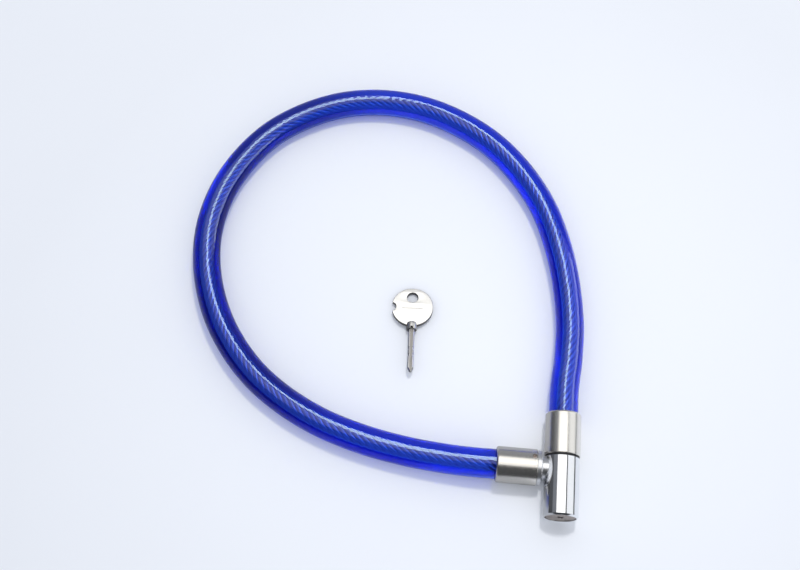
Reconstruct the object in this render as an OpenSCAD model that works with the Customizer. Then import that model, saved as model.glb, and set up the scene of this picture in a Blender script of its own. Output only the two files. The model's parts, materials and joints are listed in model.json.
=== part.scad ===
// Keyed cable lock: a plastic-covered steel cable bent into a loop, a round lock
// barrel on its fixed end, and a free end whose grooved bolt pushes into the
// barrel's side. A cross-section key lies loose inside the loop.
// The origin is under the middle of the lock head and the key, on the surface
// that they lie on. X runs along the free end's bolt, Y along the barrel.

/* [Cable] */
// Diameter over the plastic jacket
cable_d = 16; // [12:0.5:18]
// Diameter of the steel wire rope inside the jacket
rope_d = 5.5; // [4:0.5:8]
// Depth of the jacket inside each ferrule
jacket_seat = 7; // [4:0.5:9]

/* [Ferrules] */
// Step from the cable's jacket up to the ferrules' skin
ferrule_step = 1.75; // [1.6:0.05:2.5]
// Length of the ferrule on the barrel's side
fixed_ferrule_len = 23.8; // [20:0.2:30]
// Length of the ferrule on the bolt's side
free_ferrule_len = 22; // [20:0.5:30]
// Rounding of each ferrule's mouth
mouth_round = 1.2; // [0.4:0.1:1.3]
// Length of the spigots that plug into the ferrules
spigot_len = 8; // [6:0.5:9]
// Depth of the rope inside each spigot
rope_seat = 5.8; // [3:0.2:6]

/* [Barrel] */
// How far the barrel's skin lies below the ferrules'
barrel_step = 0.25; // [0:0.05:0.5]
// Length of the barrel from the key face to the seal ring
barrel_len = 32.6; // [32:0.2:40]
// Wall of the barrel round the lock cylinder
barrel_wall = 2; // [1.6:0.1:2.2]
// Bevel round the key face
face_bevel = 0.9; // [0.3:0.1:1]
// Bevel at the seal ring
top_bevel = 0.5; // [0.2:0.1:0.8]
// Thickness of the black seal ring
seal_t = 0.8; // [0.6:0.1:2]
// How far the seal ring lies below the ferrules' skin
seal_inset = 0.4; // [0.3:0.1:0.8]

/* [Bolt and socket] */
// Diameter of the bolt's shank and head
bolt_d = 8; // [7:0.1:8.4]
// Diameter at the bottom of the bolt's groove
groove_d = 5; // [4:0.1:5.4]
// Distance from the barrel's seal end down to the bolt's axis
bolt_drop = 6.4; // [6.3:0.1:7.6]
// Reach of the bolt's tip past the barrel's axis
bolt_reach = 4; // [3:0.1:4.4]
// Diameter of the socket's visible neck
neck_d = 12; // [11.6:0.1:12.4]
// Diameter of the socket where it passes through the barrel's wall
socket_d = 11.2; // [10:0.1:11.6]
// Space between the barrel's side and the bolt's flange
flange_gap = 1.8; // [0.8:0.1:3]
// Thickness of the bolt's flange
flange_t = 2.4; // [1.5:0.1:4]
// How far the bolt's flange lies below the ferrules' skin
flange_step = 0.35; // [0.3:0.05:1]
// Diameter of the pin that holds the free ferrule on the bolt
bolt_pin_d = 2.4; // [1.6:0.1:3]
// Distance of that pin from the ferrule's end
bolt_pin_inset = 1.8; // [1.6:0.1:4]
// Tilt of that pin from straight up
bolt_pin_tilt = 24; // [0:1:45]
// Length of the cone at the bolt's tip
tip_len = 1.8; // [1:0.1:2]

/* [Lock cylinder] */
// Diameter of the turning core
core_d = 8.4; // [8:0.1:9]
// Recess of the housing's face behind the barrel's rim
face_recess = 0.4; // [0.2:0.1:1]
// Rim of the barrel round the housing's head
head_rim = 1.1; // [1:0.1:1.5]
// Thickness of the housing's head
head_t = 1.2; // [0.8:0.1:1.6]
// Wall of the sleeve that covers the pin holes
cover_wall = 0.35; // [0.3:0.05:0.6]
// Diameter of the core's front flange
core_rim_d = 9.8; // [9.6:0.1:11]
// Thickness of the core's front flange
core_rim_t = 1; // [0.6:0.1:1.5]
// Diameter of the core's tail behind the housing
tail_d = 6; // [5:0.1:6.6]
// Diameter of the pin that holds the housing in the barrel
housing_pin_d = 2; // [1.5:0.1:2.5]
// Distance of that pin from the housing's inner end
housing_pin_inset = 4; // [3:0.5:5]

/* [Pins] */
// Diameter of the tumbler pins
pin_d = 1.5; // [1.2:0.1:1.8]
// Number of pins in each of the four rows
pins_per_row = 2; // [1:1:3]
// Distance from the key face to the first pin
first_pin = 5; // [4:0.5:6]
// Distance between pins in a row
pin_pitch = 4; // [3:0.5:4]
// Share of its hole that each spring-side pin fills, its spring takes the rest
driver_share = 0.46; // [0.35:0.01:0.55]
// Wire thickness of the pin springs
spring_wire = 0.25; // [0.15:0.05:0.3]

/* [Latch] */
// Thickness of the cam's disc
cam_t = 1.2; // [0.8:0.1:1.3]
// Space between the cam's disc and the bolt
cam_gap = 0.7; // [0.5:0.1:1]
// Space round the crescent in its chamber
crescent_gap = 0.45; // [0.3:0.05:0.8]
// Wall of the crescent
crescent_wall = 1.5; // [1.2:0.1:1.8]
// Angle that the crescent covers
crescent_angle = 84; // [60:2:88]
// Width of the square tang that carries the cam
tang_w = 3.6; // [3:0.1:4]
// Thickness of the clip behind the housing
clip_t = 0.7; // [0.5:0.1:0.8]
// Diameter of that clip
clip_d = 10; // [9:0.1:12]

/* [Key] */
// Diameter of the key's round bow
bow_d = 24; // [20:0.5:28]
// Thickness of the bow
bow_t = 2.6; // [2:0.1:4]
// Diameter of the key-ring hole
ring_hole_d = 6.3; // [4:0.1:7]
// Distance from the bow's middle to the key-ring hole
ring_hole_at = 6; // [5.5:0.1:7]
// Radius of the notch in the bow's edge
notch_r = 2.6; // [1:0.1:3]
// Diameter of the collar that holds the blade
collar_d = 6.2; // [5.4:0.1:8]
// Distance from the bow's middle to the collar's near end
collar_from = 10.3; // [9:0.1:10.8]
// Distance from the bow's middle to the collar's far end
collar_to = 14.5; // [13:0.1:16]
// Distance from the bow's middle to the blade's tip
key_reach = 40.5; // [36:0.5:44]
// Width over the blade's cross
blade_d = 4; // [3.4:0.1:4.2]
// Thickness of the blade's arms
blade_t = 1.1; // [0.8:0.1:1.3]
// Turn of the blade's cross against the bow, and of the core's against the bolt
cross_turn = 45; // [0:5:45]

/* [Layout] */
// Turn of the key beside the lock
key_turn = 3; // [0:1:8]
// Width over the lock head and the key beside it
spread_x = 110; // [106:1:130]
// Depth over the lock head and the key beside it
spread_y = 128; // [120:1:150]

/* [Hidden] */
$fn = 64;

// clearances
fit = 0.1;         // pieces that are fixed together
run = 0.08;        // the core in its housing, the bolt in its socket
swing = 0.3;       // space round the turning cam
pin_gap = 0.05;    // pins in their holes, and each side of the shear line
cut = 1;           // overshoot of a cutting tool
sides = 12;        // flat sides of the cable's cross-section, one of them underneath

// widths that follow the cable
ferrule_r = cable_d / 2 + ferrule_step;
barrel_r = ferrule_r - barrel_step;
flange_r = ferrule_r - flange_step;

// the lock's axis, in the layout
axis_z = ferrule_r;
lock_x = spread_x / 2 - ferrule_r;
face_y = -spread_y / 2;

// places along the barrel, from the key face towards the fixed cable end
bolt_at = barrel_len - bolt_drop;
fixed_from = barrel_len + seal_t;
fixed_to = fixed_from + fixed_ferrule_len;
spigot_top = barrel_len + spigot_len;
chamber_end = bolt_at + bolt_d / 2 + swing;
cylinder_r = barrel_r - barrel_wall;
cover_in_r = cylinder_r - fit - cover_wall;
housing_r = cover_in_r - fit;
chamber_r = housing_r - swing;
core_r = core_d / 2;
driver_from = core_r + run / 2 + pin_gap;
driver_len = driver_share * (housing_r - driver_from - pin_gap);
cam_from = bolt_at - bolt_d / 2 - cam_gap - cam_t;
clip_from = cam_from - fit - clip_t;
housing_end = clip_from - fit;
housing_len = housing_end - face_recess;
head_seat = face_recess + head_t;
head_seat_r = barrel_r - head_rim;
crescent_top = bolt_at - groove_d / 2 - swing / 2;
crescent_out_r = chamber_r - crescent_gap;
crescent_in_r = crescent_out_r - crescent_wall;

// places along the bolt, from the barrel's axis, negative towards the free end
bolt_y = face_y + bolt_at;
flange_to = -barrel_r - flange_gap;
flange_from = flange_to - flange_t;
free_mouth = flange_from - free_ferrule_len;
groove_from = -crescent_out_r - swing / 2;
groove_to = -sqrt(pow(crescent_in_r, 2) - pow(groove_d / 2 + swing, 2)) + swing;

// bores that hold the cable
jacket_r = cable_d / 2 / cos(180 / sides);
ferrule_bore_r = jacket_r + fit;
spigot_r = ferrule_bore_r - fit;
rope_bore_r = rope_d / 2 + fit * 2;

// the key's place
bow_r = bow_d / 2;
collar_r = collar_d / 2;
key_x = -spread_x / 2 + bow_r;
key_y = spread_y / 2 - bow_r;
key_tilt = atan((collar_r - bow_t / 2) / (bow_r + collar_from));

// ---------------------------------------------------------------- cable route

table_z = 8;          // height of the points below, where the cable lies on the table
ring_pitch = cable_d;
mouth_y = face_y + fixed_to;
mouth_x = lock_x + free_mouth;

// where the cable lies between the two ferrules, on the table except near its ends
loop_points = [
    [45.9, 14, 9.3], [47.1, 26, 8.7], [47.5, 48, 8.1], [44.5, 74, 8], [38.5, 98.5, 8],
    [29.5, 121.5, 8], [15.5, 143, 8], [-2.5, 161.5, 8], [-24, 175, 8], [-47.5, 183.5, 8],
    [-72, 186, 8], [-96, 182.5, 8], [-118, 173, 8], [-138, 158, 8], [-153, 138, 8],
    [-163, 115, 8], [-167, 90, 8], [-164.5, 65, 8], [-156.5, 41, 8], [-144.5, 20.5, 8],
    [-128.5, 2.5, 8], [-109.5, -11.5, 8], [-87.5, -22.5, 8], [-63.5, -30, 8],
    [-40, -34.5, 8.1], [-17, -37, 8.8]
];
fixed_lead = [lock_x, mouth_y, axis_z];
free_lead = [mouth_x, bolt_y, axis_z];
straight = [0, 0.35, 0.7];
fixed_straight = [for (k = straight) fixed_lead + [0, k * cable_d, 0]];
free_straight = [for (k = straight) free_lead - [k * cable_d, 0, 0]];
middle_route = concat(
    fixed_straight,
    [for (p = loop_points) p + [0, 0, cable_d / 2 - table_z]],
    [for (k = [len(straight) - 1:-1:0]) free_straight[k]]
);

function unit(v) = v / norm(v);
function steps(p, i) = max(1, round(norm(p[i + 1] - p[i]) / ring_pitch));
function spline(a, b, c, d, t) =
    (2 * b + (c - a) * t + (2 * a - 5 * b + 4 * c - d) * t * t
     + (3 * b - a - 3 * c + d) * t * t * t) / 2;
function curve(p) = concat(
    [for (i = [0:len(p) - 2])
        for (k = [0:steps(p, i) - 1])
            spline(p[max(i - 1, 0)], p[i], p[i + 1], p[min(i + 2, len(p) - 1)],
                   k / steps(p, i))],
    [p[len(p) - 1]]
);
function heading(c, i) = unit(c[min(i + 1, len(c) - 1)] - c[max(i - 1, 0)]);
function ring(c, i, r) =
    let (along = heading(c, i),
         side = unit(cross(along, [0, 0, 1])),
         up = cross(side, along))
    [for (k = [0:sides - 1])
        let (a = (k + 0.5) * 360 / sides)
        c[i] + r * (cos(a) * side + sin(a) * up)];
function tube_points(c, r) = [for (i = [0:len(c) - 1]) each ring(c, i, r)];
function wall_faces(rings, first, outside) =
    [for (i = [0:rings - 2])
        for (k = [0:sides - 1])
            let (a = first + i * sides + k,
                 b = first + i * sides + (k + 1) % sides)
            each outside
                ? [[a, b, a + sides], [b, b + sides, a + sides]]
                : [[a, a + sides, b], [b, a + sides, b + sides]]];
function disc_faces(first, at_start) =
    [for (k = [1:sides - 2])
        at_start ? [first, first + k + 1, first + k] : [first, first + k, first + k + 1]];
function rim_faces(outer, inner, at_start) =
    [for (k = [0:sides - 1])
        let (a = outer + k, b = outer + (k + 1) % sides,
             c = inner + k, d = inner + (k + 1) % sides)
        each at_start ? [[a, c, b], [b, c, d]] : [[a, b, c], [b, d, c]]];
function path_length(c, i = 0) =
    i >= len(c) - 1 ? 0 : norm(c[i + 1] - c[i]) + path_length(c, i + 1);

jacket_route = curve(concat(
    [fixed_lead - [0, jacket_seat, 0]], middle_route, [free_lead + [jacket_seat, 0, 0]]));
rope_start = [lock_x, face_y + spigot_top - rope_seat, axis_z];
rope_finish = [lock_x + flange_from - spigot_len + rope_seat, bolt_y, axis_z];
rope_route = curve(concat([rope_start], middle_route, [rope_finish]));

module solid_tube(c, r) {
    last = (len(c) - 1) * sides;
    polyhedron(
        points = tube_points(c, r),
        faces = concat(wall_faces(len(c), 0, true), disc_faces(0, true),
                       disc_faces(last, false)),
        convexity = 6);
}

module hollow_tube(c, r_out, r_in) {
    inner = len(c) * sides;
    last = (len(c) - 1) * sides;
    polyhedron(
        points = concat(tube_points(c, r_out), tube_points(c, r_in)),
        faces = concat(wall_faces(len(c), 0, true), wall_faces(len(c), inner, false),
                       rim_faces(0, inner, true), rim_faces(last, inner + last, false)),
        convexity = 6);
}

module cable_jacket() {
    color("royalblue")
        hollow_tube(jacket_route, jacket_r, rope_d / 2 + fit * 3);
}

module wire_rope() {
    color("slategray") solid_tube(rope_route, rope_d / 2);
}

// ------------------------------------------------------------------- frames

// stands its child on the barrel's axis, s from the key face, z towards the cable
module on_lock(s = 0) {
    translate([lock_x, face_y + s, axis_z]) rotate([-90, 0, 0]) children();
}

// lays its child on the bolt's axis, u from the barrel's axis, z into the barrel
module on_bolt(u = 0) {
    translate([lock_x + u, bolt_y, axis_z]) rotate([0, 90, 0]) children();
}

// a plain tube, standing on z = 0
module pipe(outer_r, inner_r, h) {
    difference() {
        cylinder(r = outer_r, h = h);
        translate([0, 0, -cut]) cylinder(r = inner_r, h = h + 2 * cut);
    }
}

// points of an arc, for an outline
function arc(x, y, r, from, to) =
    [for (k = [0:4]) let (a = from + (to - from) * k / 4) [x + r * cos(a), y + r * sin(a)]];

// ------------------------------------------------------------------- ferrules

// a ferrule with its round mouth at z = length and its plain end at z = 0
module ferrule(length) {
    edge = 0.4;
    rotate_extrude()
        polygon(concat(
            [[ferrule_bore_r, 0], [ferrule_r - edge, 0], [ferrule_r, edge]],
            arc(ferrule_r - mouth_round, length - mouth_round, mouth_round, 0, 80),
            [[ferrule_bore_r, length]]));
}

module fixed_ferrule() {
    color("silver") on_lock(fixed_from) ferrule(fixed_ferrule_len);
}

module free_ferrule() {
    color("silver") difference() {
        on_bolt(flange_from) mirror([0, 0, 1]) ferrule(free_ferrule_len);
        bolt_pin_shape(bolt_pin_d / 2 + pin_gap, ferrule_r + cut);
    }
}

module crimp_sleeve(length) {
    pipe(ferrule_bore_r - fit, rope_bore_r, length);
}

module fixed_crimp_sleeve() {
    color("gray") on_lock(spigot_top + fit)
        crimp_sleeve(fixed_to - jacket_seat - spigot_top - 2 * fit);
}

module free_crimp_sleeve() {
    color("gray") on_bolt(free_mouth + jacket_seat + fit)
        crimp_sleeve(free_ferrule_len - jacket_seat - spigot_len - 2 * fit);
}

module seal_ring() {
    color("black") on_lock(barrel_len)
        pipe(ferrule_r - seal_inset, spigot_r + fit, seal_t);
}

// --------------------------------------------------------------------- barrel

module barrel() {
    color("gainsboro") difference() {
        union() {
            on_lock() rotate_extrude()
                polygon([[0, 0], [barrel_r - face_bevel, 0], [barrel_r, face_bevel],
                         [barrel_r, barrel_len - top_bevel],
                         [barrel_r - top_bevel, barrel_len], [0, barrel_len]]);
            on_lock(barrel_len - cut) cylinder(r = spigot_r, h = spigot_top - barrel_len + cut);
        }
        on_lock(-cut) cylinder(r = head_seat_r, h = head_seat + cut);
        on_lock(-cut) cylinder(r = cylinder_r, h = housing_end + cut);
        on_lock(housing_end - cut) cylinder(r = chamber_r, h = chamber_end - housing_end + cut);
        on_lock(spigot_top - rope_seat - fit) cylinder(r = rope_bore_r, h = rope_seat + cut);
        on_bolt(-barrel_r - cut) cylinder(r = socket_d / 2 + fit, h = barrel_r + cut - chamber_r / 2);
        housing_pin_shape(housing_pin_d / 2 + pin_gap, barrel_r + cut);
    }
}

// the bush that guides the bolt: a neck shaped to the barrel's side, and its spigot
module bolt_socket() {
    color("gainsboro") difference() {
        union() {
            difference() {
                on_bolt(flange_to + swing)
                    cylinder(r = neck_d / 2, h = -flange_to - swing - chamber_r / 2);
                on_lock() cylinder(r = barrel_r + fit / 2, h = barrel_len);
            }
            on_bolt(-barrel_r) cylinder(r = socket_d / 2, h = barrel_r + groove_from);
        }
        on_bolt(flange_to - cut) cylinder(r = bolt_d / 2 + run, h = barrel_r + flange_gap + cut);
    }
}

// ------------------------------------------------------------------- free end

module bolt_pin_shape(r, top) {
    depth = 3.5;
    translate([lock_x + flange_from - bolt_pin_inset, bolt_y, axis_z])
        rotate([-bolt_pin_tilt, 0, 0])
            translate([0, 0, ferrule_r - depth]) cylinder(r = r, h = top - ferrule_r + depth);
}

module bolt_pin() {
    dimple = 0.5;
    top = sqrt(pow(ferrule_r, 2) - pow(bolt_pin_d / 2, 2)) + 0.05;
    color("rosybrown") difference() {
        bolt_pin_shape(bolt_pin_d / 2, top);
        translate([lock_x + flange_from - bolt_pin_inset, bolt_y, axis_z])
            rotate([-bolt_pin_tilt, 0, 0])
                translate([0, 0, top - dimple])
                    cylinder(r1 = 0.2, r2 = bolt_pin_d / 3, h = dimple + fit);
    }
}

module bolt() {
    edge = 0.4;
    neck_r = groove_d / 2;
    shank_r = bolt_d / 2;
    color("gainsboro") difference() {
        on_bolt() rotate_extrude()
            polygon([[0, flange_from - spigot_len], [spigot_r, flange_from - spigot_len],
                     [spigot_r, flange_from], [flange_r, flange_from],
                     [flange_r, flange_to - edge], [flange_r - edge, flange_to],
                     [shank_r, flange_to], [shank_r, groove_from], [neck_r, groove_from],
                     [neck_r, groove_to], [shank_r, groove_to],
                     [shank_r, bolt_reach - tip_len], [shank_r - tip_len, bolt_reach],
                     [0, bolt_reach]]);
        on_bolt(flange_from - spigot_len - cut) cylinder(r = rope_bore_r, h = rope_seat + fit + cut);
        bolt_pin_shape(bolt_pin_d / 2 + pin_gap, ferrule_r);
    }
}

// -------------------------------------------------------------- lock cylinder

// puts its child at every pin hole, with z pointing out of the barrel's axis
module at_pins() {
    for (row = [0:3])
        for (k = [0:pins_per_row - 1])
            on_lock(first_pin + k * pin_pitch) rotate([0, 0, row * 90 + cross_turn])
                rotate([0, 90, 0]) children();
}

module housing_pin_shape(r, top) {
    bottom = (core_r + housing_r) / 2;
    on_lock(housing_end - housing_pin_inset) rotate([90, 0, 0]) mirror([0, 0, 1])
        translate([0, 0, bottom]) cylinder(r = r, h = top - bottom);
}

module housing_pin() {
    top = sqrt(pow(barrel_r, 2) - pow(housing_pin_d / 2, 2));
    color("gray") housing_pin_shape(housing_pin_d / 2, top);
}

module cylinder_housing() {
    color("goldenrod") difference() {
        union() {
            on_lock(face_recess) cylinder(r = head_seat_r - fit, h = head_t);
            on_lock(face_recess) cylinder(r = housing_r, h = housing_len);
        }
        on_lock(-cut) cylinder(r = core_r + run, h = housing_end + 2 * cut);
        on_lock(-cut) cylinder(r = core_rim_d / 2 + run, h = face_recess + core_rim_t + fit + cut);
        at_pins() cylinder(r = pin_d / 2 + pin_gap, h = housing_r + cut);
        housing_pin_shape(housing_pin_d / 2 + pin_gap, barrel_r);
    }
}

module pin_cover() {
    color("lightgray") difference() {
        on_lock(head_seat + fit)
            pipe(cover_in_r + cover_wall, cover_in_r, housing_end - head_seat - fit);
        housing_pin_shape(housing_pin_d / 2 + pin_gap, barrel_r);
    }
}

module driver_pins() {
    color("gold") at_pins() translate([0, 0, driver_from])
        cylinder(r = pin_d / 2, h = driver_len);
}

module pin_springs() {
    from = driver_from + driver_len + pin_gap;
    outer_r = pin_d / 2 - pin_gap;
    color("silver") at_pins() translate([0, 0, from])
        pipe(outer_r, outer_r - spring_wire, housing_r - from);
}

module cross_bar(width, thickness, h) {
    for (turn = [0, 90])
        rotate([0, 0, turn + cross_turn]) translate([-width / 2, -thickness / 2, 0])
            cube([width, thickness, h]);
}

module core() {
    keyway_play = 0.3;
    color("darkgoldenrod") difference() {
        union() {
            on_lock(face_recess) cylinder(r = core_r, h = housing_len);
            on_lock(face_recess) cylinder(r = core_rim_d / 2, h = core_rim_t);
            on_lock(housing_end - cut) cylinder(r = tail_d / 2, h = cam_from - housing_end + cut);
            on_lock(cam_from - cut) translate([-tang_w / 2, -tang_w / 2, 0])
                cube([tang_w, tang_w, cut + cam_t]);
        }
        on_lock(-cut) cross_bar(blade_d + keyway_play, blade_t + keyway_play / 2,
                                housing_end - 1 + cut);
        at_pins() cylinder(r = pin_d / 2 + pin_gap, h = core_r + cut);
    }
}

module key_pins() {
    from = blade_d / 2 + pin_gap;
    color("gold") at_pins() translate([0, 0, from])
        cylinder(r = pin_d / 2, h = core_r - pin_gap - from);
}

module core_clip() {
    slot_w = 2;
    color("gray") difference() {
        on_lock(clip_from) pipe(clip_d / 2, tail_d / 2 + pin_gap, clip_t);
        on_lock(clip_from - cut) translate([0, -slot_w / 2, 0])
            cube([clip_d, slot_w, clip_t + 2 * cut]);
    }
}

// the cam: a disc on the tang, with a crescent that hooks into the bolt's groove
module latch_cam() {
    color("dimgray") difference() {
        union() {
            on_lock(cam_from) cylinder(r = crescent_out_r, h = cam_t);
            on_lock(cam_from) rotate([0, 0, -90 - crescent_angle / 2])
                rotate_extrude(angle = crescent_angle)
                    translate([crescent_in_r, 0])
                        square([crescent_wall, crescent_top - cam_from]);
        }
        on_lock(cam_from - cut) translate([-tang_w / 2 - pin_gap, -tang_w / 2 - pin_gap, 0])
            cube([tang_w + 2 * pin_gap, tang_w + 2 * pin_gap, cam_t + 2 * cut]);
    }
}

// ------------------------------------------------------------------------ key

// lays its child on the table beside the lock, y towards the bow's far edge
module on_key() {
    translate([key_x, key_y, 0]) rotate([0, 0, key_turn]) translate([0, bow_r, 0])
        rotate([-key_tilt, 0, 0]) translate([0, -bow_r, bow_t / 2]) children();
}

module key_bow() {
    edge = 0.4;
    panel = [12, 4, 0.25];
    panel_y = -4.8;
    notch_y = 0;
    on_key() color("silver") difference() {
        union() {
            translate([0, 0, -bow_t / 2]) rotate_extrude()
                polygon([[0, 0], [bow_r - edge, 0], [bow_r, edge], [bow_r, bow_t - edge],
                         [bow_r - edge, bow_t], [0, bow_t]]);
            translate([0, -collar_from, 0]) rotate([90, 0, 0])
                cylinder(r = collar_r, h = collar_to - collar_from);
        }
        translate([0, ring_hole_at, -bow_t]) cylinder(r = ring_hole_d / 2, h = 2 * bow_t);
        translate([-bow_r, notch_y, -bow_t]) cylinder(r = notch_r, h = 2 * bow_t);
        translate([-panel.x / 2, panel_y, bow_t / 2 - panel.z]) cube(panel + [0, 0, cut]);
        translate([0, -collar_from - cut, 0]) rotate([90, 0, 0])
            cylinder(r = blade_d / 2 + pin_gap, h = collar_to);
    }
}

module key_blade() {
    root = collar_from + cut + pin_gap;
    tip = 2.2;
    bite = 0.35;
    on_key() color("gainsboro") difference() {
        translate([0, -root, 0]) rotate([90, 0, 0]) {
            cylinder(r = blade_d / 2 * 0.99, h = collar_to - root);
            intersection() {
                cross_bar(blade_d, blade_t, key_reach - root);
                union() {
                    cylinder(r = blade_d / 2, h = key_reach - root - tip);
                    translate([0, 0, key_reach - root - tip])
                        cylinder(r1 = blade_d / 2, r2 = 0.4, h = tip);
                }
            }
        }
        for (k = [0:pins_per_row - 1])
            translate([0, -key_reach + housing_end - 1 - first_pin - k * pin_pitch, 0])
                rotate([90, 0, 0]) translate([0, 0, -pin_d / 2])
                    pipe(blade_d, blade_d / 2 - bite, pin_d);
    }
}

echo(free_cable_length = path_length(curve(middle_route)));

barrel();
bolt_socket();
seal_ring();
fixed_ferrule();
fixed_crimp_sleeve();
cable_jacket();
wire_rope();
cylinder_housing();
housing_pin();
pin_cover();
driver_pins();
pin_springs();
core();
key_pins();
latch_cam();
core_clip();
free_ferrule();
free_crimp_sleeve();
bolt();
bolt_pin();
key_bow();
key_blade();
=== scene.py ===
import json
import math

import bmesh
import bpy
import numpy as np
from mathutils import Matrix, Vector


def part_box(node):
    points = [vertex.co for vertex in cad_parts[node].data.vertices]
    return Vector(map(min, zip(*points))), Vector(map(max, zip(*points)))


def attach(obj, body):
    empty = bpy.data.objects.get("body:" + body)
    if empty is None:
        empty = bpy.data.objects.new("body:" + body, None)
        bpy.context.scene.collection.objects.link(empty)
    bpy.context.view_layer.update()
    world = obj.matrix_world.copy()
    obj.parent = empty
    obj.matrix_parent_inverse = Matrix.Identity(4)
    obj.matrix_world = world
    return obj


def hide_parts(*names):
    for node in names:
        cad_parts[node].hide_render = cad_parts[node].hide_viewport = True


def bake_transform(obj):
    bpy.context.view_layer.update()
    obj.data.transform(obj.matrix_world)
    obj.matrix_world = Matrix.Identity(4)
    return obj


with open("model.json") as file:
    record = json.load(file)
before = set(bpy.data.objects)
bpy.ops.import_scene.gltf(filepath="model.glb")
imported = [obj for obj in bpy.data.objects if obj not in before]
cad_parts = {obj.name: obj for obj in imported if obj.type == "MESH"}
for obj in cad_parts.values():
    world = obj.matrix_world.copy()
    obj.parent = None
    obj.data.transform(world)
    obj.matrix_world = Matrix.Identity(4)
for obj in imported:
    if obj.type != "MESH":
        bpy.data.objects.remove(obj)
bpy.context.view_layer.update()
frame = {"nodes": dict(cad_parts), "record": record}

mm = 0.001
scene = bpy.context.scene


# node trees

class Signal:  # one output of a node, on which maths reads as maths
    def __init__(self, web, socket):
        self.web = web
        self.socket = socket

    def math(self, operation, *others):
        values = dict(enumerate((self, *others)))
        return self.web.add("ShaderNodeMath", {"operation": operation}, values)

    def clamped(self, low=0, high=1):
        return self.math("MAXIMUM", low).math("MINIMUM", high)

    def __add__(self, other):
        return self.math("ADD", other)

    def __sub__(self, other):
        return self.math("SUBTRACT", other)

    def __rsub__(self, other):
        return self.web.add("ShaderNodeMath", {"operation": "SUBTRACT"}, {0: other, 1: self})

    def __mul__(self, other):
        return self.math("MULTIPLY", other)

    def __truediv__(self, other):
        return self.math("DIVIDE", other)

    def __pow__(self, other):
        return self.math("POWER", other)

    __radd__ = __add__
    __rmul__ = __mul__


class Web:  # adds nodes to a shader tree or a Geometry Nodes tree
    def __init__(self, tree):
        self.tree = tree

    def add(self, kind, settings=None, sockets=None, out=0):
        node = self.tree.nodes.new(kind)
        for name, value in (settings or {}).items():
            setattr(node, name, value)
        for name, value in (sockets or {}).items():
            self.feed(node.inputs[name], value)
        return Signal(self, node.outputs[out])

    def feed(self, socket, value):
        if isinstance(value, Signal):
            self.tree.links.new(value.socket, socket)
        else:
            socket.default_value = value

    def other(self, signal, name):  # another output of the same node
        return Signal(self, signal.socket.node.outputs[name])

    def parts(self, vector):  # its X, Y and Z
        x = self.add("ShaderNodeSeparateXYZ", None, {0: vector})
        return x, self.other(x, "Y"), self.other(x, "Z")

    def vectorMath(self, operation, sockets, out=0):
        return self.add("ShaderNodeVectorMath", {"operation": operation}, sockets, out)


class Finish(Web):  # a material with one Principled shader
    def __init__(self, name):
        self.material = bpy.data.materials.new(name)
        self.material.use_nodes = True
        super().__init__(self.material.node_tree)
        self.shader = self.tree.nodes["Principled BSDF"]

    def set(self, **values):  # sockets by name, with spaces left out
        for socket in self.shader.inputs:
            plain = socket.name.replace(" ", "")
            plain = plain[0].lower() + plain[1:]
            if plain in values:
                self.feed(socket, values.pop(plain))
        assert not values, f"no such socket: {values}"

    def place(self):
        return self.add("ShaderNodeTexCoord", out="Object")

    def stretched(self, scale, turn=(0, 0, 0), shift=(0, 0, 0)):
        return self.add("ShaderNodeMapping", None, {
            "Vector": self.place(), "Scale": scale, "Rotation": turn, "Location": shift})

    def carried(self, name, out="Vector"):  # an attribute of the mesh
        return self.add("ShaderNodeAttribute", {"attribute_name": name}, out=out)

    def noise(self, vector, scale, detail=3, roughness=0.5):
        return self.add("ShaderNodeTexNoise", None, {
            "Vector": vector, "Scale": scale, "Detail": detail, "Roughness": roughness})

    def between(self, factor, low, high):  # two colours mixed by a number
        low, high = (colour if isinstance(colour, Signal) else (*colour, 1) for colour in (low, high))
        return self.add("ShaderNodeMix", {"data_type": "RGBA"}, {0: factor, 6: low, 7: high}, out=2)

    def spread(self, value, low, high):  # a 0 to 1 number onto low to high
        return value * (high - low) + low

    def bump(self, height, depth, strength=1.0):
        return self.add("ShaderNodeBump", None, {
            "Height": height, "Distance": depth, "Strength": strength})


# camera and studio

studio = {
    "cameraPlace": (-0.0288, -0.1899, 0.5928),
    "cameraAim": (-0.0512, 0.06335, 0.008),
    "lens": 49.5,
    "sensor": 36,
    "nearest": 0.01,
    "lampsAim": (-0.02, 0.05, 0.01),
    "roomColour": (0.88, 0.92, 1.0),
    "roomLight": 0.83,
    "roomThrough": 0.34,  # what is seen of the room through plastic
    "roomShine": 0.06,  # what polished metal sees of the room
    "roomShineBehind": 0.30,  # and more of it towards the back
    "roomShineRise": 1.5,  # how late that comes
}

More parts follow.
